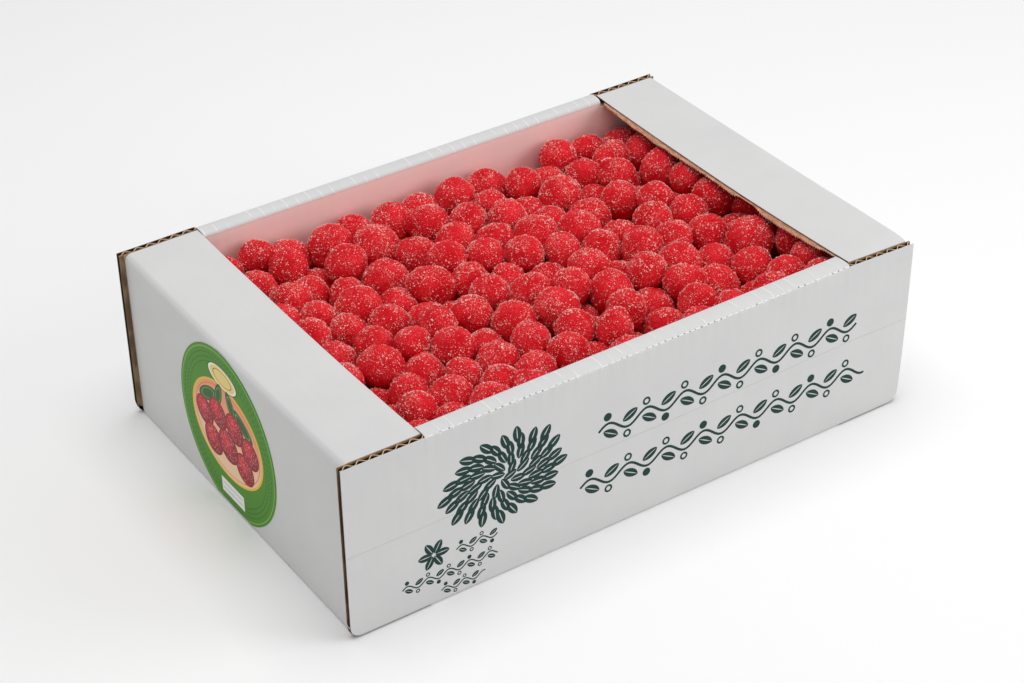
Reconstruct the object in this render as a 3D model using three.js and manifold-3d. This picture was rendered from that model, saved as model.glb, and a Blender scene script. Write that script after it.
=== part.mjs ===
// An open tray of sugared round sweets. The tray is one folded blank of white corrugated board.
// Millimetres, +Z up. The origin is on the ground under the middle of the tray, the long
// printed wall faces -Y and the end with the round label faces -X.
import * as THREE from "three";
import { mergeVertices } from "three/addons/utils/BufferGeometryUtils.js";
import Module from "manifold-3d";

// The tray, over its outside faces
const LENGTH = 380;
const WIDTH = 252;
const HEIGHT = 111;
const BOARD = 4;
const RIM = 11.5; // flat top of a long wall, which is folded double
const SHELF_LEFT = 50; // reach of the top flaps from the tray's two ends
const SHELF_RIGHT = 45;
const END_INSET = 3; // the ends stand this far inside the long walls' raw edges
const SOFT_FOLD = 4; // outer radius where an end turns over into its flap
const CREASE = 2; // outer radius of every other fold
const LOWER_CORNER = 7; // rounded lower corners of the long walls
const SLIT = 0.4; // slits between neighbouring panels

// The round paper label on the left end
const LABEL_RADIUS = 54.2;
const LABEL_PAPER = 0.3;
const LABEL_Y = 7;
const LABEL_Z = 52.6; // so low that the label runs to the lower crease

// The sweets: a bed of balls that are pushed apart until they lie side by side
const SMALLEST_RADIUS = 11;
const LARGEST_RADIUS = 15;
const BALLS = 450;
const BED_HEIGHT = 46; // the solid inside of the heap reaches up to here at least
const HEAP_TOP = 104; // the level that no ball passes, at the tray's middle
const HEAP_SLOPE = 0.012; // the heap stands higher towards the printed wall
const UNEVENNESS = 18; // the most that a ball is held below the top level
const ROUNDS = 240; // of pushing apart
const LOOK_AGAIN = 8; // rounds between two searches for neighbours
const NEAR = 5; // balls with less than this between them count as neighbours
const SEED = 11;
const FULLNESS = 1.05; // a ball with few sides is drawn larger, to keep its volume
const LONGEST = 1.32; // the most that a ball is drawn out in one direction
const FLATTER = 0.4; // and that direction lies flatter than chance would have it
const CORE_TOP = 92; // the solid inside of the heap, with the balls that show fused on
const FLAP_CORE_TOP = 99; // under the flaps the core stands as high as the balls would
const BALL_SHOWS = 3; // a ball that rises less than this over the core is left out
const CLEARANCE = 0.3; // between the sweets and the board

const wasm = await Module();
wasm.setup();

function solid(geometry) {
  geometry.deleteAttribute("normal");
  geometry.deleteAttribute("uv");
  const merged = mergeVertices(geometry, 1e-4);
  return new wasm.Manifold(new wasm.Mesh({
    numProp: 3,
    vertProperties: new Float32Array(merged.attributes.position.array),
    triVerts: new Uint32Array(merged.index.array),
  }));
}

function named(name, shape, colour, roughness) {
  const { vertProperties, triVerts } = shape.getMesh();
  const geometry = new THREE.BufferGeometry();
  geometry.setAttribute("position", new THREE.BufferAttribute(vertProperties, 3));
  geometry.setIndex(new THREE.BufferAttribute(triVerts, 1));
  geometry.computeVertexNormals();
  const material = new THREE.MeshStandardMaterial({ color: colour, roughness, metalness: 0 });
  const mesh = new THREE.Mesh(geometry, material);
  mesh.name = name;
  return mesh;
}

// A closed outline of corners [across, up, radius]
function outline(corners, path = new THREE.Shape()) {
  corners.forEach(([across, up, radius = 0], index) => {
    const corner = new THREE.Vector2(across, up);
    const before = corners.at(index - 1);
    const after = corners[(index + 1) % corners.length];
    const start = new THREE.Vector2(before[0], before[1]).sub(corner).setLength(radius).add(corner);
    const end = new THREE.Vector2(after[0], after[1]).sub(corner).setLength(radius).add(corner);
    if (index === 0) path.moveTo(start.x, start.y);
    else path.lineTo(start.x, start.y);
    if (radius > 0) path.quadraticCurveTo(corner.x, corner.y, end.x, end.y);
  });
  return path;
}

function rectangle(left, right, low, high) {
  return [[left, low], [right, low], [right, high], [left, high]];
}

// A section of (y, z) drawn along X, and one of (x, z) drawn along Y
const ALONG_X = new THREE.Matrix4().makeBasis(
  new THREE.Vector3(0, 1, 0), new THREE.Vector3(0, 0, 1), new THREE.Vector3(1, 0, 0));
const ALONG_Y = new THREE.Matrix4().makeBasis(
  new THREE.Vector3(1, 0, 0), new THREE.Vector3(0, 0, 1), new THREE.Vector3(0, -1, 0));

function extrude(shape, from, to, curveSegments = 4) {
  const settings = { depth: to - from, bevelEnabled: false, curveSegments };
  return new THREE.ExtrudeGeometry(shape, settings).translate(0, 0, from);
}

function alongX(shape, from, to, curveSegments) {
  return solid(extrude(shape, from, to, curveSegments).applyMatrix4(ALONG_X));
}

function alongY(shape, from, to) {
  return solid(extrude(shape, -to, -from).applyMatrix4(ALONG_Y));
}

function block(x0, x1, y0, y1, z0, z1) {
  return alongX(outline(rectangle(y0, y1, z0, z1)), x0, x1);
}

// The printed wall, the floor and the back wall, folded from one strip. Between the flaps each
// long wall turns over a narrow rim and comes down again inside, with a hollow between its
// two panels that is open at both ends.
const SIDE = WIDTH / 2;
const INNER_FACE = SIDE - RIM;
const LEFT_FLAP = -LENGTH / 2 + SHELF_LEFT;
const RIGHT_FLAP = LENGTH / 2 - SHELF_RIGHT;

function longWalls() {
  const doubled = outline([
    [-SIDE, 0, CREASE], [SIDE, 0, CREASE], [SIDE, HEIGHT, CREASE], [INNER_FACE, HEIGHT, CREASE],
    [INNER_FACE, BOARD], [-INNER_FACE, BOARD], [-INNER_FACE, HEIGHT, CREASE], [-SIDE, HEIGHT, CREASE],
  ]);
  const single = outline([
    [-SIDE, 0, CREASE], [SIDE, 0, CREASE], [SIDE, HEIGHT], [SIDE - BOARD, HEIGHT],
    [SIDE - BOARD, BOARD], [-SIDE + BOARD, BOARD], [-SIDE + BOARD, HEIGHT], [-SIDE, HEIGHT],
  ]);
  let strip = alongX(doubled, LEFT_FLAP, RIGHT_FLAP)
    .add(alongX(single, -LENGTH / 2, LENGTH / 2).subtract(rimFoldRoom()));
  const innerEnd = LENGTH / 2 - END_INSET - 2 * BOARD;
  for (const side of [-1, 1]) {
    const [low, high] = between(side * INNER_FACE, side * (INNER_FACE + BOARD));
    const [from, to] = between(side * (INNER_FACE + BOARD), side * (SIDE - BOARD));
    const inner = block(-innerEnd, innerEnd, low, high, BOARD / 2, HEIGHT - BOARD - SLIT);
    const hollow = block(-innerEnd, innerEnd, from, to, BOARD, HEIGHT - BOARD);
    strip = strip.add(inner).subtract(hollow);
  }
  return strip;
}

function between(one, other) {
  return [Math.min(one, other), Math.max(one, other)];
}

// Between the flaps the outer panels end in the rim's fold, not in a raw edge
function rimFoldRoom() {
  const top = HEIGHT - BOARD;
  const near = block(LEFT_FLAP, RIGHT_FLAP, -SIDE - 1, -SIDE + BOARD, top, HEIGHT + 1);
  const far = block(LEFT_FLAP, RIGHT_FLAP, SIDE - BOARD, SIDE + 1, top, HEIGHT + 1);
  return near.add(far);
}

// An end rises from the floor between the long walls and turns over into a flat flap
function end(side, reach) {
  const face = LENGTH / 2 - END_INSET;
  const edge = LENGTH / 2 - reach;
  const corners = [
    [face, 0, CREASE], [face, HEIGHT, SOFT_FOLD], [edge, HEIGHT], [edge, HEIGHT - BOARD],
    [face - BOARD, HEIGHT - BOARD], [face - BOARD, BOARD],
    [face - 2 * BOARD, BOARD], [face - 2 * BOARD, 0],
  ];
  const placed = corners.map(([across, up, radius]) => [side * across, up, radius]);
  const halfWidth = SIDE - BOARD - SLIT;
  return alongY(outline(side > 0 ? placed : placed.reverse()), -halfWidth, halfWidth);
}

function tray() {
  const side = outline([
    [-LENGTH / 2, 0, LOWER_CORNER], [LENGTH / 2, 0, LOWER_CORNER],
    [LENGTH / 2, HEIGHT], [-LENGTH / 2, HEIGHT],
  ]);
  let folded = longWalls().intersect(alongY(side, -SIDE, SIDE));
  for (const [way, flapEdge] of [[-1, LEFT_FLAP], [1, RIGHT_FLAP]]) {
    const tip = way * (LENGTH / 2 + 1);
    const floorEnd = way * (LENGTH / 2 - END_INSET - BOARD);
    const inside = SIDE - BOARD;
    const flapRoom = block(...between(tip, flapEdge), -inside, inside, HEIGHT - BOARD - SLIT, HEIGHT + 1);
    const endRoom = block(...between(tip, floorEnd), -inside, inside, -1, HEIGHT + 1);
    folded = folded.subtract(flapRoom).subtract(endRoom);
  }
  return folded.add(end(-1, SHELF_LEFT)).add(end(1, SHELF_RIGHT));
}

// The label is a little too large for the end, so its disc is cut off along the lower crease
function label() {
  const disc = new THREE.Shape().absarc(LABEL_Y, LABEL_Z, LABEL_RADIUS, 0, 2 * Math.PI, false);
  const face = -LENGTH / 2 + END_INSET;
  const aboveCrease = block(face - BOARD, face + BOARD, -SIDE, SIDE, CREASE, HEIGHT);
  return alongX(disc, face - LABEL_PAPER, face, 24).intersect(aboveCrease);
}

// Evenly spread draws from 0 to 1 that come out alike on every run
let state = SEED;
function draw() {
  state = (state * 1664525 + 1013904223) % 4294967296;
  return state / 4294967296;
}

function held(value, low, high) {
  return Math.max(low, Math.min(high, value));
}

function pushApart(one, other) {
  const [x, y, z] = [other.x - one.x, other.y - one.y, other.z - one.z];
  const apart = Math.sqrt(x * x + y * y + z * z);
  const push = (one.radius + other.radius - apart) / (2 * apart);
  if (push <= 0) return;
  one.x -= push * x;
  one.y -= push * y;
  one.z -= push * z;
  other.x += push * x;
  other.y += push * y;
  other.z += push * z;
}

function neighbours(balls) {
  const pairs = [];
  balls.forEach((one, index) => {
    for (const other of balls.slice(index + 1)) {
      const [x, y, z] = [other.x - one.x, other.y - one.y, other.z - one.z];
      const reach = one.radius + other.radius + NEAR;
      if (x * x + y * y + z * z < reach * reach) pairs.push([one, other]);
    }
  });
  return pairs;
}

function heapOfBalls() {
  const roomX = LENGTH / 2 - END_INSET - BOARD - CLEARANCE;
  const roomY = INNER_FACE - CLEARANCE;
  const balls = [];
  for (let index = 0; index < BALLS; index += 1) {
    balls.push({
      radius: SMALLEST_RADIUS + (LARGEST_RADIUS - SMALLEST_RADIUS) * draw() * draw(),
      x: (2 * draw() - 1) * roomX,
      y: (2 * draw() - 1) * roomY,
      z: BED_HEIGHT + (HEAP_TOP - BED_HEIGHT) * draw(),
      top: HEAP_TOP - UNEVENNESS * draw() * draw(),
      lean: new THREE.Vector3(draw() - 0.5, draw() - 0.5, FLATTER * (draw() - 0.5)).normalize(),
      longer: 1 + (LONGEST - 1) * draw() * draw(),
    });
  }
  let pairs = [];
  for (let round = 0; round < ROUNDS; round += 1) {
    if (round % LOOK_AGAIN === 0) pairs = neighbours(balls);
    for (const [one, other] of pairs) pushApart(one, other);
    for (const ball of balls) {
      ball.x = held(ball.x, ball.radius - roomX, roomX - ball.radius);
      ball.y = held(ball.y, ball.radius - roomY, roomY - ball.radius);
      ball.z = held(ball.z, BED_HEIGHT, ball.top - HEAP_SLOPE * ball.y - ball.radius);
    }
  }
  return balls;
}

// A ball with few sides, drawn out along its own lean
function ballSolid({ x, y, z, radius, lean, longer }) {
  const geometry = new THREE.IcosahedronGeometry(radius * FULLNESS, 1);
  const position = geometry.attributes.position;
  const point = new THREE.Vector3();
  for (let index = 0; index < position.count; index += 1) {
    point.fromBufferAttribute(position, index);
    point.addScaledVector(lean, (longer - 1) * point.dot(lean));
    point.divideScalar(Math.cbrt(longer)).add({ x, y, z });
    position.setXYZ(index, point.x, point.y, point.z);
  }
  return solid(geometry);
}

// Balls are fused on where the opening shows them; further under the flaps the core is bare
function sweets() {
  const roomX = LENGTH / 2 - END_INSET - BOARD - CLEARANCE;
  const roomY = INNER_FACE - CLEARANCE;
  const floor = BOARD + CLEARANCE;
  const left = LEFT_FLAP - LARGEST_RADIUS;
  const right = RIGHT_FLAP + LARGEST_RADIUS;
  let heap = block(-roomX, roomX, -roomY, roomY, floor, CORE_TOP)
    .add(block(-roomX, left, -roomY, roomY, floor, FLAP_CORE_TOP))
    .add(block(right, roomX, -roomY, roomY, floor, FLAP_CORE_TOP));
  const room = block(-roomX, roomX, -roomY, roomY, floor, HEIGHT - BOARD - CLEARANCE);
  for (const ball of heapOfBalls()) {
    const shows = ball.z + ball.radius > CORE_TOP + BALL_SHOWS;
    if (shows && ball.x > left && ball.x < right) heap = heap.add(ballSolid(ball));
  }
  return heap.intersect(room);
}

const group = new THREE.Group();
group.add(
  named("tray", tray(), 0xe6e6e5, 0.75),
  named("label", label(), 0x5a962c, 0.4),
  named("sweets", sweets(), 0xcf1f2d, 0.6),
);

export default group;
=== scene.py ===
import math

import bmesh
import bpy
import numpy as np
from mathutils import Matrix, Vector, noise


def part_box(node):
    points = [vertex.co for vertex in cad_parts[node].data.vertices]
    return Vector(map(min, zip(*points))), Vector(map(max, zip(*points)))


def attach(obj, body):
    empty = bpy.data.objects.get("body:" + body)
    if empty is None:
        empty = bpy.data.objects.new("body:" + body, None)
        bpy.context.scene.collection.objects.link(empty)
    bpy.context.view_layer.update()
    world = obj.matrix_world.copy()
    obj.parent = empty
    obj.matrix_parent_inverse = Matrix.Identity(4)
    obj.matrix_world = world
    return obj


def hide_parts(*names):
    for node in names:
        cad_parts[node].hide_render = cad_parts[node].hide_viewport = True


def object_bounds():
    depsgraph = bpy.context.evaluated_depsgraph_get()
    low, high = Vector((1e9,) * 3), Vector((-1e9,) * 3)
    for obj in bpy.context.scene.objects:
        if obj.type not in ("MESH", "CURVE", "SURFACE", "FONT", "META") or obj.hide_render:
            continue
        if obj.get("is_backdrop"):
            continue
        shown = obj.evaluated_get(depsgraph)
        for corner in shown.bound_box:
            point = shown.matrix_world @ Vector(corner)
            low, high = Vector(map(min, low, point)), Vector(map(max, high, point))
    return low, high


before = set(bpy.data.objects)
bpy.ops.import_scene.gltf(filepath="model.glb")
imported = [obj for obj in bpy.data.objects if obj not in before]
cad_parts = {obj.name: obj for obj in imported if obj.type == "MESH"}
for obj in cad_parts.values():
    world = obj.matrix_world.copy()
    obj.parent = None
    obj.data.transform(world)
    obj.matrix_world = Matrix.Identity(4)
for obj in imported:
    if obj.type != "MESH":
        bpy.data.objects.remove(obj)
cad_low, cad_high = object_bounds()
mm = 0.001
scene = bpy.context.scene

# The view is through a long lens, from in front of the tray and to its left, and looks down
# on the near left corner.
turn, tilt, roll = math.radians(33.45), math.radians(34.03), math.radians(-0.93)
aim = Vector((-10.1, -10.6, 55.7)) * mm
facing = (Matrix.Rotation(-turn, 4, "Z") @ Matrix.Rotation(math.pi / 2 - tilt, 4, "X")
          @ Matrix.Rotation(roll, 4, "Z"))
lens = bpy.data.cameras.new("camera")
lens.sensor_width = 36
lens.lens = 82.2
lens.clip_end = 20
camera = bpy.data.objects.new("camera", lens)
camera.matrix_world = Matrix.Translation(aim) @ facing @ Matrix.Translation((0, 0, 1355 * mm))
scene.collection.objects.link(camera)
scene.camera = camera

# The tray is folded from one blank of corrugated board: a white paper liner outside, a brown
# one inside, and a wavy brown sheet glued between them. It has no staples and no tape.
length, side, height = cad_high.x, cad_high.y, cad_high.z
board, paper = 4 * mm, 0.4 * mm
rim = 11.5 * mm
crease, soft_fold, lower_corner = 2 * mm, 4 * mm, 7 * mm
slit = 0.4 * mm
inner_face = side - rim
end_inset = 3 * mm
end_face = length - end_inset
end_width = side - board - slit
left_flap, right_flap = -length + 50 * mm, length - 45 * mm
rim_start, rim_stop = left_flap + 0.3 * mm, right_flap - 2.4 * mm
floor_end = end_face - board
# The inner panels of the doubled walls start at this share of the way to the ends
panel_reach = 0.978
# The brown liner and the waves are crushed back this far from a flap's white edge
liner_gap, middle_gap = 3.2 * mm, 3.4 * mm
# The load bends the board by these. The flaps hang lowest a little towards the printed wall
wall_bulge, wall_slope, foot_lean, ripple_height = 0.9 * mm, 1.9 * mm, 2.2 * mm, 0.25 * mm
left_hang, right_hang, hang_aside = 0.3 * mm, 2.1 * mm, 16 * mm
hair = 0.1 * mm


def ease(value, low, high):
    share = min(max((value - low) / (high - low), 0), 1)
    return share * share * (3 - 2 * share)


def settle(place):
    """Bends the folded tray as its load does. Every piece of board takes the same bends."""
    x, y, z = place
    up, outer = z / height, ease(abs(y), inner_face + board / 2, side - board)
    at_top = ease(up, 0.94, 0.96)
    # The long walls bulge, and their lower corners are rounded
    bulge = wall_bulge * outer * (1 - (x / length) ** 2) * 4 * up * (1 - up)
    past = abs(x) - length + lower_corner
    if past > 0 and outer > 0.9:
        rounding = lower_corner - math.sqrt(max(lower_corner ** 2 - past ** 2, 0))
        z += rounding * max(1 - z / (3 * lower_corner), 0)
    # The printed wall's raw edge slopes down to the right end, and leans in towards its foot
    front = ease(-y, inner_face, side - board)
    z -= wall_slope * front * up * min(max((x - right_flap) / (length - right_flap), 0), 1)
    lean_in = foot_lean * front * (1 - up) ** 2 * ease(x, length - 25 * mm, length)
    # The rims are crowned, and the printed wall's inner panel stands in, most of all at the right
    if rim_start - hair < x < rim_stop + hair:
        along = max((x - rim_start) / (rim_stop - rim_start), 0)
        crown = math.sin(math.pi * min(max((side - abs(y)) / rim, 0), 1))
        z += (0.6 + 0.4 * along ** 4) * mm * crown * at_top
        if y < 0:
            y += (0.8 + 2.2 * along) * mm * (1 - ease(-y, inner_face, side)) * ease(up, 0.3, 1)
    # The flaps hang between the walls, the right one more than the left one
    off_lowest = (y + hang_aside) / (end_width + math.copysign(hang_aside, y + hang_aside))
    on_flap = at_top * max(1 - off_lowest ** 2, 0) * (abs(y) < end_width)
    z -= right_hang * on_flap * ease(x, right_flap + 40 * mm, right_flap)
    z -= left_hang * on_flap * ease(x, left_flap - 44 * mm, left_flap)
    # The right end stands flush with the long walls' ends
    flush = end_inset * ease(x, right_flap, end_face) * (abs(y) < end_width + slit / 2)
    ripple = ripple_height * noise.noise(Vector((x, y, z)) / (35 * mm)) * ease(up, 0.5, 1)
    return Vector((x - lean_in + flush, y + math.copysign(bulge, y), z + ripple))


def along_x(across, up, along):
    return Vector((along, across, up))


def along_y(across, up, along):
    return Vector((across, along, up))


def along_z(across, deep, along):
    return Vector((across, deep, along))


def beneath(path, depth):
    """The corners of the surface that lies this deep in the board under a folded one. A path
    is corners (across, up, fold radius), with the board on its left."""
    inside = []
    for index, (across, up, radius) in enumerate(path):
        stops = [Vector(stop[:2]) for stop in path[max(index - 1, 0):index + 2]]
        ways = [(after - before).normalized() for before, after in zip(stops, stops[1:])]
        normals = [Vector((-way.y, way.x)) for way in ways]
        shift = (normals[0] + normals[-1]) / (1 + normals[0].dot(normals[-1]))
        inside.append((*(Vector((across, up)) + depth * shift), max(radius - depth, 0)))
    return inside


def between(path, near, far):
    return beneath(path, near) + beneath(path, far)[::-1]


def pull_out(bm, way):
    """Extrudes every face by one vector and keeps the first faces, so that the shape is shut."""
    grown = bmesh.ops.extrude_face_region(bm, geom=bm.faces[:], use_keep_orig=True)["geom"]
    ends = [part for part in grown if isinstance(part, bmesh.types.BMVert)]
    bmesh.ops.translate(bm, verts=ends, vec=way)


def drawn(corners, lay, start, end):
    """A closed section with rounded corners, drawn from start to end. lay turns (across, up,
    along) into a place."""
    bm = bmesh.new()
    points = [bm.verts.new(lay(across, up, start)) for across, up, radius in corners]
    bm.faces.new(points)
    for point, (across, up, radius) in zip(points, corners):
        if radius > 0:
            bmesh.ops.bevel(bm, geom=[point], offset=radius, affect="VERTICES", segments=5,
                            profile=0.5, material=-1)
    pull_out(bm, lay(0, 0, end) - lay(0, 0, start))
    return bm


def joined(pieces):
    whole = bmesh.new()
    for piece in pieces:
        mesh = bpy.data.meshes.new("joining")
        piece.to_mesh(mesh)
        piece.free()
        whole.from_mesh(mesh)
        bpy.data.meshes.remove(mesh)
    return whole


tip_cuts = [way * (length - cut * mm) for way in (-1, 1) for cut in (0.5, 1, 2, 3, 4, 5.5)]
rim_cuts = [way * (side - cut * mm) for way in (-1, 1) for cut in (2, 3.6, 5.5, 7.4, 9.2)]
cuts = {
    (1, 0, 0): [*np.arange(-180, 181, 12) * mm, *tip_cuts],
    (0, 1, 0): [*np.arange(-108, 109, 12) * mm, *rim_cuts],
    (0, 0, 1): np.array([3, 6, 10, 15, 22, 34, 46, 58, 70, 82, 92, 99, 103.5]) * mm,
}


def stand(name, mesh, material):
    """Puts the mesh in the scene as an object at the origin."""
    mesh.materials.append(material)
    piece = bpy.data.objects.new(name, mesh)
    scene.collection.objects.link(piece)
    return piece


def put_in(name, bm, material, node, smooth=None, bent=False):
    """Makes the bmesh a piece of the object, which stands for a solid of the frame. A bent
    piece keeps its straight places too, for its material's pattern."""
    if bent:
        for normal, places in cuts.items():
            for place in places:
                bmesh.ops.bisect_plane(bm, geom=[*bm.verts, *bm.edges, *bm.faces],
                                       plane_co=Vector(normal) * place, plane_no=normal)
        straight = bm.verts.layers.float_vector.new("straight")
        for vert in bm.verts:
            vert[straight] = vert.co
            vert.co = settle(vert.co)
    bmesh.ops.recalc_face_normals(bm, faces=bm.faces)
    mesh = bpy.data.meshes.new(name)
    bm.to_mesh(mesh)
    bm.free()
    piece = stand(name, mesh, material)
    if smooth:
        mesh.shade_smooth()
        mesh.set_sharp_from_angle(angle=math.radians(smooth))
    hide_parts(node)
    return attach(piece, "root")


doubled_walls = [
    (-inner_face, board, 0), (-inner_face, height, crease), (-side, height, crease),
    (-side, 0, crease), (side, 0, crease), (side, height, crease),
    (inner_face, height, crease), (inner_face, board, 0),
]
single_walls = [(-side, height, 0), (-side, 0, crease), (side, 0, crease), (side, height, 0)]
tips = ([(-side, height, 0), (-side, 0, crease), (-side + board, 0, 0)],
        [(side - board, 0, 0), (side, 0, crease), (side, height, 0)])
inner_top = height - board - slit
inner_walls = ([(-inner_face, board, 0), (-inner_face, inner_top, 0)],
               [(inner_face, inner_top, 0), (inner_face, board, 0)])
wall_ends = ((-length, -floor_end, rim_start), (length, floor_end, rim_stop))


def end_path(way, edge_gap=0.0):
    """The left or right end, from its flap's free edge to its foot."""
    edge = (left_flap if way < 0 else right_flap) + way * edge_gap
    face, foot = way * end_face, way * (end_face - 2 * board)
    path = [(edge, height, 0), (face, height, soft_fold), (face, 0, crease), (foot, 0, 0)]
    return path if way < 0 else path[::-1]


def liner(near, far, edge_gap=0.0):
    parts = [drawn(between(doubled_walls, near, far), along_x, rim_start, rim_stop)]
    for tip, foot, rim_end in wall_ends:
        parts.append(drawn(between(single_walls, near, far), along_x, foot, rim_end))
        parts += [drawn(between(path, near, far), along_x, tip, foot) for path in tips]
        parts += [drawn(between(path, near, far), along_x, foot * panel_reach, rim_end)
                  for path in inner_walls]
        folded_end = end_path(math.copysign(1, tip), edge_gap)
        parts.append(drawn(between(folded_end, near, far), along_y, -end_width, end_width))
    return joined(parts)


class Mark:
    """A socket in a material. Arithmetic on it adds Math nodes."""

    def __init__(self, tree, socket):
        self.tree, self.socket = tree, socket

    def node(self, kind, settings=(), inputs=(), output=0):
        made = self.tree.nodes.new(kind)
        for key, value in dict(settings).items():
            setattr(made, key, value)
        for key, value in dict(inputs).items():
            if isinstance(value, Mark):
                self.tree.links.new(value.socket, made.inputs[key])
            elif made.inputs[key].type == "RGBA":
                made.inputs[key].default_value = (*value, 1)
            else:
                made.inputs[key].default_value = value
        return Mark(self.tree, made.outputs[output])

    def math(self, operation, *values):
        return self.node("ShaderNodeMath", {"operation": operation}, enumerate(values))

    def __add__(self, other):
        return self.math("ADD", self, other)

    def __sub__(self, other):
        return self.math("SUBTRACT", self, other)

    def __rsub__(self, other):
        return self.math("SUBTRACT", other, self)

    def __mul__(self, other):
        return self.math("MULTIPLY", self, other)

    def __truediv__(self, other):
        return self.math("DIVIDE", self, other)

    def __rtruediv__(self, other):
        return self.math("DIVIDE", other, self)

    __radd__, __rmul__ = __add__, __mul__

    def __abs__(self):
        return self.math("ABSOLUTE", self)

    def least(self, other):
        return self.math("MINIMUM", self, other)

    def most(self, other):
        return self.math("MAXIMUM", self, other)

    def sine(self):
        return self.math("SINE", self)

    def rise(self, low, high):
        """From 0 at low to 1 at high, where low may be the greater."""
        ends = {1: low, 2: high} if low < high else {1: high, 2: low, 3: 1, 4: 0}
        settings = {"interpolation_type": "SMOOTHSTEP"}
        return self.node("ShaderNodeMapRange", settings, {0: self, **ends})

    def axis(self, index):
        return self.node("ShaderNodeSeparateXYZ", (), {0: self}, index)

    def moved(self, location=(0, 0, 0), rotation=(0, 0, 0), scale=(1, 1, 1)):
        inputs = {"Vector": self, "Location": location, "Rotation": rotation, "Scale": scale}
        return self.node("ShaderNodeMapping", (), inputs)

    def clouds(self, grain, detail=2.0, roughness=0.5):
        """Noise from 0 to 1 in patches of about one grain, in metres."""
        inputs = {"Vector": self, "Scale": 0.5 / grain, "Detail": detail, "Roughness": roughness}
        return self.node("ShaderNodeTexNoise", (), inputs)

    def cells(self, grain):
        """How far away the middle of the nearest cell is, in cells of about one grain."""
        return self.node("ShaderNodeTexVoronoi", (), {"Vector": self, "Scale": 1 / grain})

    def colours(self, first, second):
        """The first colour where this mask is 0, and the second where it is 1."""
        inputs = {0: self, 6: first, 7: second}
        return self.node("ShaderNodeMix", {"data_type": "RGBA"}, inputs, 2)


def shown(red, green, blue):
    """Linear light from a colour as a screen shows it, 0 to 255."""
    parts = [channel / 255 for channel in (red, green, blue)]
    return tuple(c / 12.92 if c < 0.04045 else ((c + 0.055) / 1.055) ** 2.4 for c in parts)


def finish(name, **constants):
    """A material, its Object coordinates, and a function that fills its sockets."""
    material = bpy.data.materials.new(name)
    material.use_nodes = True
    tree = material.node_tree
    shader = tree.nodes["Principled BSDF"]
    for key, value in constants.items():
        shader.inputs[key.replace("_", " ")].default_value = value
    place = Mark(tree, tree.nodes.new("ShaderNodeTexCoord").outputs["Object"])

    def paint(relief=None, depth=0.0, **varying):
        if relief:
            inputs = {"Height": relief, "Distance": depth}
            varying["Normal"] = place.node("ShaderNodeBump", (), inputs)
        for key, value in varying.items():
            tree.links.new(value.socket, shader.inputs[key.replace("_", " ")])

    return material, place, paint


def unbent(place):
    """The place in the board before it was bent, whole and as its x, y and z."""
    place = place.node("ShaderNodeAttribute", {"attribute_name": "straight"}, (), "Vector")
    return place, *(place.axis(index) for index in range(3))


pitch = 7.8 * mm
wave_turn = 2 * math.pi / pitch
# The cuts along a rim's outer fold are this far apart, and the printed wall is scored this high
cut_pitch, score_height = 4.2 * mm, 57 * mm

white_liner, place, paint = finish("white_liner", Specular_IOR_Level=0.3)
place, x, y, z = unbent(place)
fibres = place.clouds(0.5 * mm, 5, 0.65)
mottle = place.clouds(16 * mm, 3)
wash = (x * wave_turn).sine()
out = abs(y)
on_rim = out.rise(inner_face - 1 * mm, inner_face) * z.rise(height - 2.2 * mm, height - 1.6 * mm)
under_crease = out.rise(side - 2 * mm, side - 1 * mm) * z.rise(height - 18 * mm, height - 2 * mm)
between_flaps = x.rise(rim_start - 1 * mm, rim_start) * x.rise(rim_stop + 1 * mm, rim_stop)
streaks = place.moved(scale=(1, 0.15, 0.1)).clouds(0.7 * mm, 3, 0.6)
wrinkled = between_flaps * (on_rim * 0.7 + under_crease)
# The rim's outer fold is cut through in dashes. Along them the paper is painted whiter than the
# rest, torn paper with painted highlight on the torn edges, and a few of the cuts are painted dark
# with painted shade
fold_way = abs((side - out) - (height - z) + (place.clouds(5 * mm, 3) - 0.5) * (1.6 * mm))
on_fold = (fold_way.rise(0.6 * mm, 0.25 * mm) * between_flaps
           * z.rise(height - 3.4 * mm, height - 3 * mm) * out.rise(side - 3.4 * mm, side - 3 * mm))
beat = (x * (2 * math.pi / cut_pitch) + place.clouds(7 * mm, 3) * 9).sine()
dashes = on_fold * beat.rise(-0.7, -0.2) * place.clouds(5 * mm).rise(0.3, 0.45)
some_cuts = place.moved(scale=(1, 0.1, 0.1)).clouds(8 * mm).rise(0.5, 0.56)
# A few of the cuts are painted grey: painted shade inside them
shaded_cuts = on_fold * beat.rise(-0.86, -0.95) * some_cuts
# Bright lines on the flute ridges along the rim are painted highlights
flute_lines = on_rim * between_flaps * wash.rise(0.93, 0.995)
flute_lines = flute_lines * place.clouds(6 * mm).rise(0.42, 0.62)
painted_highlights = dashes.most(flute_lines * 0.8)
# The score line is dented, and painted a little grey: painted shade in the crease
score = z - x * 0.012 - score_height + (place.clouds(20 * mm) - 0.5) * (1.5 * mm)
score = abs(score).rise(0.55 * mm, 0.15 * mm) * (0 - y).rise(side - 1 * mm, side - 0.5 * mm)
tone = (mottle * 0.6 + fibres * 0.4).colours(shown(205, 205, 205), shown(221, 221, 220))
tone = (score * 0.18).colours(tone, shown(180, 180, 180))
# The back wall's inner face is painted lighter and pinker over the sweets: painted light thrown
# back from them
painted_bounce = (y.rise(inner_face + 0.3 * mm, inner_face + 0.1 * mm)
              * y.rise(side - 2 * rim, side - 1.5 * rim)
              * z.rise(height - 1 * mm, height - 2.5 * mm)
              * (length - abs(x)).rise(10 * mm, 12 * mm))
tone = painted_bounce.colours(tone, shown(251, 227, 222))
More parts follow.
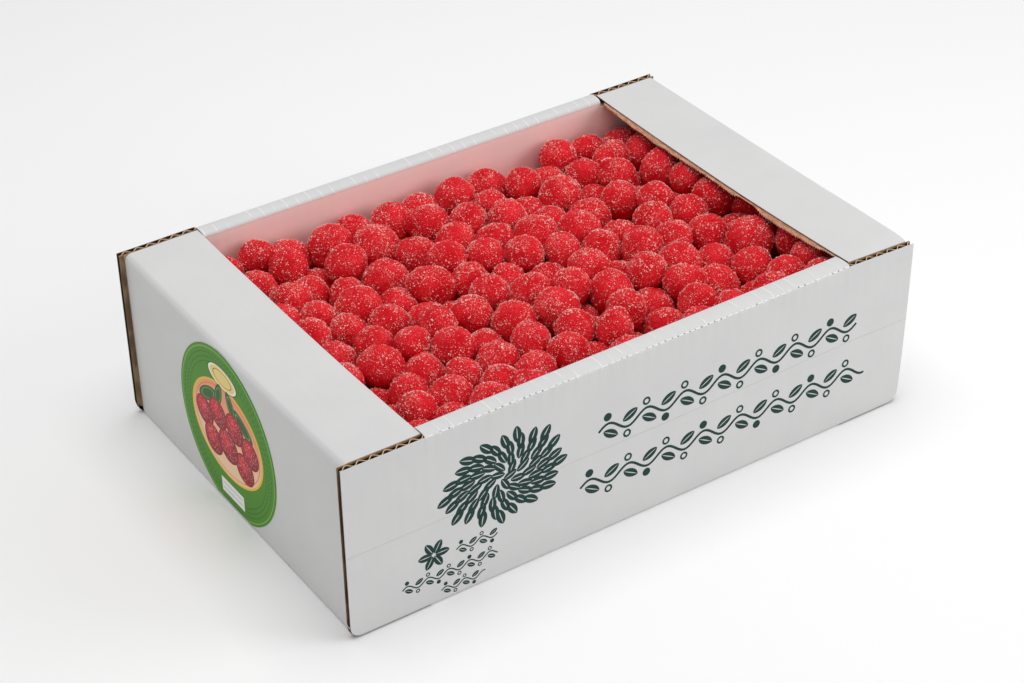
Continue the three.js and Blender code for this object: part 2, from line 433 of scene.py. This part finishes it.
# The liner is brown on its side towards the waves, and painted dark there: painted shade between
# the waves
shaded_liner_back = (out.rise(side - board - 0.1 * mm, side - board + 0.1 * mm)
          * (side - out).rise(0.22 * mm, 0.34 * mm))
tone = (shaded_liner_back * (1 - between_flaps)).colours(tone, shown(70, 48, 34))
tone = painted_highlights.colours(shaded_cuts.colours(tone, shown(120, 118, 116)), shown(242, 242, 242))
relief = (wash * 0.16 * (1 + wrinkled * 1.6) + fibres * 0.25 + streaks * wrinkled * 1.6
          + mottle * 0.5 + painted_highlights * 1.4 - score * 1.2 - shaded_cuts * 2)
paint(relief, 0.12 * mm, Base_Color=tone, Roughness=fibres * 0.2 + 0.5)

kraft, place, paint = finish("kraft_paper", Specular_IOR_Level=0.1)
place, x, y, z = unbent(place)
fibres = place.clouds(0.6 * mm, 5, 0.7)
streaks = place.moved(scale=(0.12, 1, 1)).clouds(1.2 * mm, 3)
brown = (fibres * 0.5 + streaks * 0.5).colours(shown(158, 130, 102), shown(206, 176, 142))
# Raw edges are pale where the knife went through them. Deeper between the waves they are painted
# near-black: painted shade
in_wall = abs(y).rise(side - board + paper * 0.6, side - board + paper * 1.1)
shade_depth = (height - z).least(length - abs(x)).rise(0.4 * mm, 1.5 * mm)
# Inside a flap's crushed edge the board is painted near-black: painted shade in the gap
shaded_flap_gap = z.rise(height - board + 0.1 * mm, height - board + 0.5 * mm)
shaded_flap_gap = shaded_flap_gap * abs(y).rise(side - board, side - board - 0.3 * mm)
upright = (length - abs(x)).rise(3.2 * mm, 2.6 * mm)
upright = upright * abs(y).rise(side - board - slit, side - board)
lines = place.moved(scale=(0.1, 1, 0.05)).clouds(0.5 * mm, 2).rise(0.4, 0.6)
brown = (upright * 0.85).colours(brown, lines.colours(shown(84, 66, 50), shown(136, 114, 88)))
top_edge = (height - z).rise(0.7 * mm, 0.3 * mm)
of_liner = abs(y).rise(side - board + paper * 1.3, side - board + paper * 1.1)
cut_edge = of_liner.colours(shown(224, 190, 152), shown(150, 112, 86))
brown = (top_edge * 0.8).colours(brown, cut_edge)
paint(fibres, 0.15 * mm, Roughness=fibres * 0.15 + 0.75,
      Base_Color=(in_wall * shade_depth).most(shaded_flap_gap).colours(brown, shown(40, 25, 16)))

torn_paper, place, paint = finish("torn_paper", Specular_IOR_Level=0.1)
fibres = place.moved(scale=(1, 0.25, 1)).clouds(0.5 * mm, 5, 0.7)
x = place.axis(0)
# The torn liner's part tucked in under a flap's edge is painted near-black: painted shade in the
# gap
under_flap = (x - right_flap).most(left_flap - x).rise(0.7 * mm, 1 * mm)
torn = fibres.rise(0.3, 0.7).colours(shown(196, 142, 108), shown(250, 212, 180))
paint(fibres, 0.2 * mm, Roughness=fibres * 0.15 + 0.75,
      Base_Color=under_flap.colours(torn, shown(34, 20, 14)))

put_in("white_liner", liner(0, paper), white_liner, "tray", smooth=35, bent=True)
put_in("kraft_liner", liner(board - paper, board, liner_gap), kraft, "tray",
       smooth=35, bent=True)

# Between the liners runs the wavy sheet. Its waves show at the long walls' raw top edges and
# upright ends. Inside the closed board its thickness alone counts, so it is solid there.
middle = (paper, board - paper)
parts = [drawn(between(doubled_walls, *middle), along_x, rim_start, rim_stop)]
for tip, foot, rim_end in wall_ends:
    floor_strip = [(-side + board, 0, 0), (side - board, 0, 0)]
    parts.append(drawn(between(floor_strip, *middle), along_x, foot, rim_end))
    parts += [drawn(between(path, *middle), along_x, foot * panel_reach, rim_end)
              for path in inner_walls]
    folded_end = end_path(math.copysign(1, tip), middle_gap)
    parts.append(drawn(between(folded_end, *middle), along_y, -end_width, end_width))
put_in("board_middle", joined(parts), kraft, "tray", smooth=35, bent=True)

sheet, foot_gap, top_gap = 0.42 * mm, 1.5 * mm, 0.2 * mm
swing = board / 2 - paper - sheet / 2
parts = []
for tip, foot, rim_end in wall_ends:
    for wall in (-side + board / 2, side - board / 2):
        low, high = sorted((tip, rim_end))
        stations = np.arange(low, high, pitch / 12)
        wave = [(x, wall + swing * math.sin(wave_turn * x), 0) for x in (*stations, high)]
        parts.append(drawn(between(wave, -sheet / 2, sheet / 2), along_z, foot_gap,
                           height - top_gap))
put_in("flutes", joined(parts), kraft, "tray", smooth=40, bent=True)

# Along a flap's free edge the die has crushed the board and torn the brown liner, which hangs
# out saw-toothed under the clean white edge, with a dark gap between the two.
step, lip, tucked, rows = 0.28 * mm, 1.8 * mm, 3.2 * mm, 7
pull = {-1: 0.8, 1: 1}
torn_width = inner_face - 0.5 * mm


def drop(y, way):
    """How far down the torn liner reaches under the flap's top at a place along its edge."""
    y = y / mm
    # It hangs lowest around the middle, but two stretches there are torn less
    whole = 4.7 * (1 - 0.5 * (y / 121) ** 4) - 1.6 * ease(-y, 84, 112)
    spared = 1.7 * math.exp(-((y - 8) / 32) ** 2) + 3.7 * math.exp(-((y + 31) / 9) ** 2)
    uneven = 0.9 * noise.noise(Vector((0, y / 11, way * 5)))
    wander = noise.noise(Vector((0, y / 5, way)))
    teeth = 1.2 * (0.5 - abs(math.sin(math.pi * y / 1.8 + 3 * wander)))
    rough = 0.5 * noise.noise(Vector((y * 2.2, 3, way)))
    return (max((whole - spared + uneven) * pull[way], 1.3) + teeth + rough) * mm


parts = []
for way, edge in ((-1, left_flap), (1, right_flap)):
    bm = bmesh.new()
    bmesh.ops.create_grid(bm, x_segments=int(2 * torn_width / step), y_segments=rows - 1, size=1)
    for vert in bm.verts:
        y, row = vert.co.x * torn_width, round((1 - vert.co.y) / 2 * (rows - 1))
        if row == 0:
            down, proud = tucked, -tucked
        else:
            hang = (row - 1) / (rows - 2)
            down = lip + max(drop(y, way) - lip, 0.1 * mm) * hang
            proud = (-0.9 + 1.4 * hang ** 0.6) * mm
        sagged = settle(Vector((edge, y, height)))
        vert.co = (sagged.x - way * proud, sagged.y, sagged.z - down)
    bmesh.ops.recalc_face_normals(bm, faces=bm.faces)
    bmesh.ops.solidify(bm, geom=bm.faces[:], thickness=0.25 * mm)
    parts.append(bm)
put_in("torn_edges", joined(parts), torn_paper, "tray", smooth=50)

# The long front wall is printed in one dark green ink: an oval spray of leaves near the left
# end, a flower and three little vines under it, and two long vines. The ink is a thin film.
film_out, film_in = 0.07 * mm, -0.02 * mm
ink, place, paint = finish("green_ink", Specular_IOR_Level=0.25)
rub = place.clouds(0.5 * mm, 4, 0.7)
paint(Base_Color=(rub.rise(0.58, 0.75) * 0.35).colours(shown(10, 54, 48), shown(80, 116, 108)),
      Roughness=rub * 0.2 + 0.42)


def blade(middle, heading, long, wide, half=0):
    """A pointed leaf. half is 1 or -1 for the part on one side of its vein, 0 for both."""
    bm = bmesh.new()
    bmesh.ops.create_circle(bm, cap_ends=True, segments=20, radius=1)
    for vert in bm.verts:
        along, across = vert.co.x, vert.co.y * abs(vert.co.y) ** 0.35
        if half:
            across = half * max(half * across, 0.12 * (1 - along ** 2))
        vert.co = (along * long / 2, across * wide / 2, 0)
    turned = Matrix.Translation((*middle, 0)) @ Matrix.Rotation(heading, 4, "Z")
    bmesh.ops.transform(bm, matrix=turned, verts=bm.verts)
    bmesh.ops.remove_doubles(bm, verts=bm.verts, dist=0.005)
    return bm


def ring(middle, outer, stroke):
    """An open ring, or a dot where the stroke is as wide as its radius."""
    bm = bmesh.new()
    bmesh.ops.create_circle(bm, cap_ends=stroke >= outer, segments=32, radius=outer)
    if stroke < outer:
        bmesh.ops.create_circle(bm, cap_ends=False, segments=32, radius=outer - stroke)
        bmesh.ops.bridge_loops(bm, edges=bm.edges)
    bmesh.ops.translate(bm, vec=(*middle, 0), verts=bm.verts)
    return bm


def stem(points, stroke):
    """A bent stroke through the points."""
    corners = between([(*point, 0) for point in points], -stroke / 2, stroke / 2)
    bm = bmesh.new()
    bm.faces.new([bm.verts.new((across, up, 0)) for across, up, radius in corners])
    return bm


def spray(middle, count, wide, high):
    """Leaves that spiral out from a middle and fill an oval evenly."""
    leaves = []
    for number in range(count):
        share, turn = math.sqrt((number + 0.7) / count), 2.4 * number
        away = wide * share * math.cos(turn), high * share * math.sin(turn)
        heading = math.atan2(away[1], away[0]) + 0.4
        spot = (middle[0] + away[0], middle[1] + away[1])
        long, broad = 9 + 2 * share, 4.4 + 1.2 * share
        leaves += [blade(spot, heading, long, broad, half) for half in (1, -1)]
    return leaves


def vine(start, end, level, size=1.0, rising=0.0):
    """A wavy stem with a leaf on each bend and a berry opposite to it."""
    wave, swing = 26 * size, 3.6 * size
    stations = np.linspace(start, end, int((end - start) / wave * 16))

    def at(x):
        return level + (x - start) * rising + swing * math.sin(2 * math.pi * (x - start) / wave)

    shapes = [stem([(x, at(x)) for x in stations], 1.5 * size)]
    for bend in range(int((end - start) / wave * 2)):
        x = start + wave * (0.25 + 0.5 * bend)
        up = 1 if bend % 2 else -1
        base = level + (x - start) * rising
        shapes += [blade((x + 1.5 * size, base + up * swing), 0.5 * up, 11 * size, 5.6 * size, half)
                   for half in (1, -1)]
        berry = (x - 0.5 * size, base - up * (swing + 4.4 * size))
        shapes.append(ring(berry, 2.6 * size, (1.2 if bend % 3 else 2.6) * size))
    return shapes


def flower(middle, reach):
    petals = []
    for heading in np.arange(6) * math.pi / 3:
        spot = (middle[0] + reach * math.cos(heading), middle[1] + reach * math.sin(heading))
        petals += [blade(spot, heading, 8.6, 4.8, half) for half in (1, -1)]
    return petals


film = joined([*spray((-93, 66), 74, 37, 26), *vine(-32, 150, 69, 1, 0.008), *vine(-44, 159, 36.5),
               *vine(-124, -98, 31, 0.5), *vine(-158, -98, 18.5, 0.5),
               *vine(-134, -106, 7.5, 0.46), *flower((-138, 34), 5.4)])
pull_out(film, (0, 0, 1))
for vert in film.verts:
    x, z, out = vert.co
    vert.co = (x * mm, -side - (film_out if out > 0.5 else film_in), z * mm)
put_in("wall_print", film, ink, "tray", bent=True)

# A round glossy paper label, 108 mm across, is stuck on the left end and cut off along the
# lower fold. It is green, with fine rings along its rim, a peach field in a yellow line, red
# berries, a cream oval and a white panel to write on.
label_low, label_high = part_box("label")
label_radius = (label_high.y - label_low.y) / 2
label_y, label_z = (label_low.y + label_high.y) / 2, label_high.z - label_radius

print_paper, place, paint = finish("label_paper", Specular_IOR_Level=0.2)
place = place.moved(location=(0, -label_y / mm, -label_z / mm), scale=(1 / mm, 1 / mm, 1 / mm))
right, up = 0 - place.axis(1), place.axis(2)
blur = 0.12


def root(value):
    return value.math("SQRT", value)


def oval(x, z, wide, high, lean=0.0):
    """How far a place is outside an oval, in mm, near its line."""
    a, b = right - x, up - z
    turned = a * math.cos(lean) + b * math.sin(lean), b * math.cos(lean) - a * math.sin(lean)
    p, q = turned[0] / wide, turned[1] / high
    return (root(p * p + q * q) - 1) * min(wide, high)


def panel(x, z, wide, high):
    return (abs(right - x) - wide).most(abs(up - z) - high)


def inside(distance):
    return distance.rise(blur, -blur)


def line(distance, width):
    return abs(distance).rise(width / 2 + blur, width / 2 - blur)


radial = root(right * right + up * up)
dashes = (right.math("ARCTAN2", right, up) * 90).sine().rise(-0.35, 0.1)
grain = place.clouds(1.1, 3)
green = grain.colours(shown(64, 132, 12), shown(80, 148, 24))
dark_green, cream = shown(36, 84, 22), shown(240, 214, 132)
field = oval(0, 1, 40, 31, 0.1)
peach = up.rise(26, -22).colours(shown(240, 158, 118), shown(246, 206, 168))
plate, slip = oval(0, 37.5, 14, 6), panel(0, -40.5, 13, 5)
layers = [(line(radial - 52.4, 0.5), shown(150, 190, 90))]
layers += [(line(radial - reach, 0.7) * dashes, dark_green) for reach in (49.2, 46.4, 43.6)]
layers += [(inside(field), peach), (line(field, 1.3), shown(240, 190, 50)),
           (line(field + 2.4, 0.5), shown(226, 120, 70)),
           (inside(plate - 1.2), shown(34, 60, 24)), (inside(plate - 0.8), shown(250, 246, 232)),
           (inside(plate), cream), (line(plate + 1.6, 0.4), shown(170, 120, 40)),
           (inside(slip), shown(240, 240, 238))]
layers += [(line(up + below, 0.35) * inside(panel(0, -40.5, 11, 5)), shown(150, 150, 150))
           for below in (38.5, 42.5)]
for x, z, long, wide, lean in ((-20, 17, 12, 4.6, 0.5), (20, 17, 12, 4.6, -0.5),
                               (-7, 23, 9, 4, 1.2), (7, 23, 9, 4, -1.2)):
    leaf = oval(x, z, long, wide, lean)
    layers += [(inside(leaf), shown(44, 96, 40)), (line(leaf + 1.4, 0.5), shown(110, 160, 80))]
sugar_dots = place.cells(1.3).rise(0.42, 0.22)
for x, z, size in ((-26, 2, 9.6), (26, 2, 9.6), (-9.5, 9, 9.8), (9.5, 9, 9.8), (-18, -13, 10),
                   (18, -13, 10), (0, -8, 10.8)):
    berry = oval(x, z, size, size * 0.95)
    shade = oval(x - 2.4, z + 3, size, size).rise(-size, 1)
    skin = shade.colours(shown(216, 40, 56), shown(150, 12, 30))
    layers += [(inside(berry - 0.5), shown(120, 14, 26)), (inside(berry), skin),
               (inside(berry + 1) * sugar_dots * 0.35, shown(252, 214, 214))]
tone = green
for mask, over in layers:
    tone = mask.colours(tone, over)
paint(place.clouds(9, 3), 0.05 * mm, Base_Color=tone, Roughness=grain * 0.1 + 0.4)

bm = bmesh.new()
bmesh.ops.create_circle(bm, cap_ends=True, segments=128, radius=label_radius)
pull_out(bm, (0, 0, label_high.x - label_low.x))
bmesh.ops.rotate(bm, matrix=Matrix.Rotation(math.pi / 2, 3, "Y"), verts=bm.verts)
bmesh.ops.translate(bm, vec=(label_low.x, label_y, label_z), verts=bm.verts)
cut = bmesh.ops.bisect_plane(bm, geom=[*bm.verts, *bm.edges, *bm.faces], clear_inner=True,
                             plane_co=(0, 0, label_low.z), plane_no=(0, 0, 1))["geom_cut"]
bmesh.ops.edgeloop_fill(bm, edges=[part for part in cut if isinstance(part, bmesh.types.BMEdge)])
put_in("round_label", bm, print_paper, "label")

# The sweets are soft red jelly balls, 22 to 30 mm thick and rolled in sugar, that lie loose
# in an uneven heap. Some are egg-shaped, and some set with a second lobe. The ones that never
# show are one solid block inside the heap.
ball_count, smallest, largest, longest = 450, 11, 15, 1.32
bed, heap_top, heap_slope, unevenness = 46, 104, 0.012, 18
clearance, pair_gap, ceiling = 0.3, 5, 106
passes, new_pairs_every = 240, 8
room_x = end_face / mm - board / mm - clearance
room_y = inner_face / mm - clearance
state = 11


def draw():
    global state
    state = (state * 1664525 + 1013904223) % 4294967296
    return state / 4294967296


centre, radius, top, lean, longer = [], [], [], [], []
for ball in range(ball_count):
    radius.append(smallest + (largest - smallest) * draw() * draw())
    centre.append([(2 * draw() - 1) * room_x, (2 * draw() - 1) * room_y,
                   bed + (heap_top - bed) * draw()])
    top.append(heap_top - unevenness * draw() * draw())
    lean.append(Vector((draw() - 0.5, draw() - 0.5, 0.4 * (draw() - 0.5))).normalized())
    longer.append(1 + (longest - 1) * draw() * draw())

# The balls push each other apart until they lie side by side
for pass_number in range(passes):
    if pass_number % new_pairs_every == 0:
        spots, radii = np.array(centre), np.array(radius)
        gaps = ((spots[:, None] - spots[None]) ** 2).sum(2)
        close = gaps < (radii[:, None] + radii[None] + pair_gap) ** 2
        pairs = [(one, other) for one, other in np.argwhere(close).tolist() if one < other]
    for one, other in pairs:
        a, b = centre[one], centre[other]
        x, y, z = b[0] - a[0], b[1] - a[1], b[2] - a[2]
        apart = math.sqrt(x * x + y * y + z * z)
        push = (radius[one] + radius[other] - apart) / (2 * apart)
        if push > 0:
            centre[one] = [a[0] - push * x, a[1] - push * y, a[2] - push * z]
            centre[other] = [b[0] + push * x, b[1] + push * y, b[2] + push * z]
    for ball, r in enumerate(radius):
        x, y, z = centre[ball]
        x = max(r - room_x, min(x, room_x - r))
        y = max(r - room_y, min(y, room_y - r))
        centre[ball] = [x, y, max(bed, min(z, top[ball] - heap_slope * y - r))]


def ball_mesh(subdivisions):
    bm = bmesh.new()
    bmesh.ops.create_icosphere(bm, subdivisions=subdivisions, radius=1)
    points = np.array([vert.co for vert in bm.verts])
    faces = np.array([[vert.index for vert in face.verts] for face in bm.faces])
    bm.free()
    return points, faces


def lumpy(ball, points):
    """The surface of one sweet in mm, from the points of a round one of radius 1."""
    along = np.array(lean[ball])
    sizes = np.full(len(points), radius[ball] * 1.015)
    if ball % 5 == 0:
        # A second lobe, two thirds as thick, that has set onto one side
        reach, small, blend = 0.58 * radius[ball], 0.68 * radius[ball], 1.2
        lobe = np.array(Vector((math.sin(ball * 2.4), math.cos(ball * 2.4), 0.3)).normalized())
        cosine = points @ lobe
        inside = small ** 2 - reach ** 2 * (1 - cosine ** 2)
        far = np.where(inside > 0, reach * cosine + np.sqrt(np.maximum(inside, 0)), 0)
        soft = np.maximum(blend - abs(far - sizes), 0)
        sizes = np.maximum(sizes, far) + soft ** 2 / (4 * blend)
    shift = Vector((ball * 3.7, ball * 1.3, ball * 2.9))
    for index, point in enumerate(points):
        spot = Vector(point)
        sizes[index] += (0.8 * noise.noise(spot * 1.5 + shift)
                         + 0.35 * noise.noise(spot * 4 + shift)
                         + 0.16 * noise.noise(spot * 11 + shift))
    shaped = points * sizes[:, None]
    shaped += (longer[ball] - 1) * (shaped @ along)[:, None] * along
    shaped = shaped / longer[ball] ** (1 / 3) + centre[ball]
    shaped[:, 0] = np.clip(shaped[:, 0], -room_x, room_x)
    shaped[:, 1] = np.clip(shaped[:, 1], -room_y, room_y)
    shaped[:, 2] = np.minimum(shaped[:, 2], ceiling)
    return shaped


def gathered(name, points, faces, material, smooth):
    """One piece from arrays of many small closed meshes, in mm."""
    mesh = bpy.data.meshes.new(name)
    mesh.from_pydata((points * mm).tolist(), [], faces.tolist())
    if smooth:
        mesh.shade_smooth()
    piece = stand(name, mesh, material)
    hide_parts("sweets")
    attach(piece, "root")


jelly, place, paint = finish("sugared_jelly", Roughness=0.55, Specular_IOR_Level=0.12,
                             Subsurface_Weight=0.4, Subsurface_Radius=(1.0, 0.1, 0.08),
                             Subsurface_Scale=0.004)
dust = place.clouds(0.3 * mm, 3, 0.75)
patches = place.clouds(6 * mm, 3)
grains = place.cells(0.7 * mm)
frost = grains.rise(0.42, 0.1) * dust.rise(0.35, 0.6) * patches.rise(0.3, 0.6)
red = (patches * 0.4 + dust * 0.6).rise(0.35, 0.65).colours(shown(206, 0, 20), shown(246, 32, 50))
sugary = (frost * 0.75).colours(red, shown(255, 152, 148))
paint(grains * -1.0 + dust * 1.2, 0.45 * mm, Base_Color=sugary)

core_top, core_round, in_sight = 76, 6 * mm, 17
# Balls further than this behind a flap's edge lie in the dark under it
out_of_sight = 14
levels = {"sweets_on_top": 4, "sweets_below": 3}
shown_balls = {name: [] for name in levels}
for ball, (x, y, z) in enumerate(centre):
    over_core = z + radius[ball] - core_top
    under_flap = max(left_flap / mm - x, x - right_flap / mm) > out_of_sight
    if over_core > 0:
        on_top = over_core > in_sight and not under_flap
        shown_balls["sweets_on_top" if on_top else "sweets_below"].append(ball)
surface = {}
for name, chosen in shown_balls.items():
    points, faces = ball_mesh(levels[name])
    shaped = [lumpy(ball, points) for ball in chosen]
    surface[name] = (np.concatenate(shaped),
                     np.concatenate([faces + len(points) * index for index in range(len(chosen))]))
    gathered(name, *surface[name], jelly, smooth=True)

core = bmesh.new()
bmesh.ops.create_cube(core, size=1)
low = Vector((-room_x, -room_y, board / mm + clearance)) * mm
high = Vector((room_x, room_y, core_top)) * mm
bmesh.ops.scale(core, vec=high - low, verts=core.verts)
bmesh.ops.translate(core, vec=(low + high) / 2, verts=core.verts)
bmesh.ops.bevel(core, geom=core.edges, offset=core_round, segments=3, affect="EDGES",
                profile=0.5, material=-1)
put_in("sweets_inside", core, jelly, "sweets", smooth=40)

# Coarse sugar sticks to the sweets as loose single grains, thick in some patches and thin in
# others. Each grain is an uneven eight-sided crystal, set a little into the jelly.
rng = np.random.default_rng(7)
grain_count, batch, set_out = 94000, 20000, 0.12
# No grain lies lower than this, on a face that looks further down, or further under a flap
lowest_grain, most_downward, under_left, under_right = 80, -0.2, 12, 16
octahedron = np.array([[1, 0, 0], [-1, 0, 0], [0, 1, 0], [0, -1, 0], [0, 0, 1], [0, 0, -1]])
octahedron_faces = np.array([[0, 2, 4], [2, 1, 4], [1, 3, 4], [3, 0, 4],
                             [2, 0, 5], [1, 2, 5], [3, 1, 5], [0, 3, 5]])
all_corners, all_owners = [], []
for name, (points, faces) in surface.items():
    all_corners.append(points[faces])
    per_ball = len(faces) // len(shown_balls[name])
    all_owners.append(np.repeat(shown_balls[name], per_ball))
corners, owners = np.concatenate(all_corners), np.concatenate(all_owners)
outward = np.cross(corners[:, 1] - corners[:, 0], corners[:, 2] - corners[:, 0])
areas = np.linalg.norm(outward, axis=1)
outward /= np.maximum(areas, 1e-9)[:, None]
along, _, high_up = corners.mean(1).T
areas[(outward[:, 2] < most_downward) | (high_up < lowest_grain)] = 0
areas[(along < left_flap / mm - under_left) | (along > right_flap / mm + under_right)] = 0

picked = rng.choice(len(areas), size=grain_count * 4, p=areas / areas.sum())
weights = rng.dirichlet((1, 1, 1), size=len(picked))
spots = (corners[picked] * weights[:, :, None]).sum(1)
normals = outward[picked]
thick = np.array([noise.noise(Vector(spot) / 7) + 0.25 * noise.noise(Vector(spot) / 1.5)
                  for spot in spots])
wanted = np.clip(0.4 + 0.8 * thick, 0.08, 1) * np.clip(0.55 + 0.6 * normals[:, 2], 0.25, 1)
keep = rng.random(len(spots)) < wanted
# A grain that would lie inside a neighbouring sweet is left out
middles, radii = np.array(centre), np.array(radius)
neighbourhood = 45
for ball in np.unique(owners):
    near_ball = np.linalg.norm(middles - middles[ball], axis=1) < neighbourhood
    near_ball[ball] = False
    mine = np.flatnonzero(keep & (owners[picked] == ball))
    gaps = np.linalg.norm(spots[mine][:, None] - middles[near_ball][None], axis=2)
    keep[mine[(gaps < radii[near_ball] * 0.95).any(1)]] = False
kept = np.flatnonzero(keep)[:grain_count]
spots, normals = spots[kept], normals[kept]

turned, _ = np.linalg.qr(rng.normal(size=(len(kept), 3, 3)))
turned[:, :, 0] *= np.linalg.det(turned)[:, None]
coarse = rng.random(len(kept)) < 0.2
sizes = np.where(coarse, rng.uniform(0.34, 0.52, len(kept)), rng.uniform(0.14, 0.26, len(kept)))
stretch = rng.uniform(0.7, 1.25, size=(len(kept), 1, 3))
shapes = octahedron[None] * stretch * sizes[:, None, None]
crystals = np.einsum("nij,nkj->nki", turned, shapes) + (spots + normals * set_out)[:, None]

sugar, place, paint = finish("sugar", Roughness=0.12, Specular_IOR_Level=1.0)
stained = place.clouds(0.8 * mm, 2).rise(0.4, 0.6)
paint(Base_Color=stained.colours(shown(255, 232, 220), shown(250, 126, 118)))
for number in range(math.ceil(len(kept) / batch)):
    some = crystals[number * batch:(number + 1) * batch]
    faces = octahedron_faces[None] + 6 * np.arange(len(some))[:, None, None]
    gathered(f"sugar_{number + 1}", some.reshape(-1, 3), faces.reshape(-1, 3), sugar, smooth=False)

# The tray stands on a plain pale floor in soft studio light, which comes evenly from all sides
# and from two wide lamps.
bm = bmesh.new()
bmesh.ops.create_grid(bm, x_segments=1, y_segments=1, size=8)
mesh = bpy.data.meshes.new("floor")
bm.to_mesh(mesh)
bm.free()
pale, place, paint = finish("pale_floor", Roughness=0.9, Specular_IOR_Level=0.0)
paint(Base_Color=place.clouds(0.4).colours(shown(250, 250, 250), shown(252, 252, 252)))
floor = stand("floor", mesh, pale)
floor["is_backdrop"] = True

world = bpy.data.worlds.new("studio")
world.use_nodes = True
world.node_tree.nodes["Background"].inputs["Color"].default_value = (1, 1, 1, 1)
world.node_tree.nodes["Background"].inputs["Strength"].default_value = 0.52
scene.view_settings.view_transform = "Standard"
scene.world = world

# A wide soft lamp hangs over the tray, and a second one fills the printed wall from the right
aim_at = (0, 0, 0.05)
for name, place, size, power in (("top_light", (0, 0, 1.6), 1.2, 11.4),
                                 ("right_light", (1.3, -1.1, 0.8), 1.0, 9.5)):
    lamp = bpy.data.lights.new(name, "AREA")
    lamp.size, lamp.energy = size, power
    hung = bpy.data.objects.new(name, lamp)
    hung.location = place
    hung.rotation_euler = (Vector(place) - Vector(aim_at)).to_track_quat("Z", "Y").to_euler()
    scene.collection.objects.link(hung)

low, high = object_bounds()
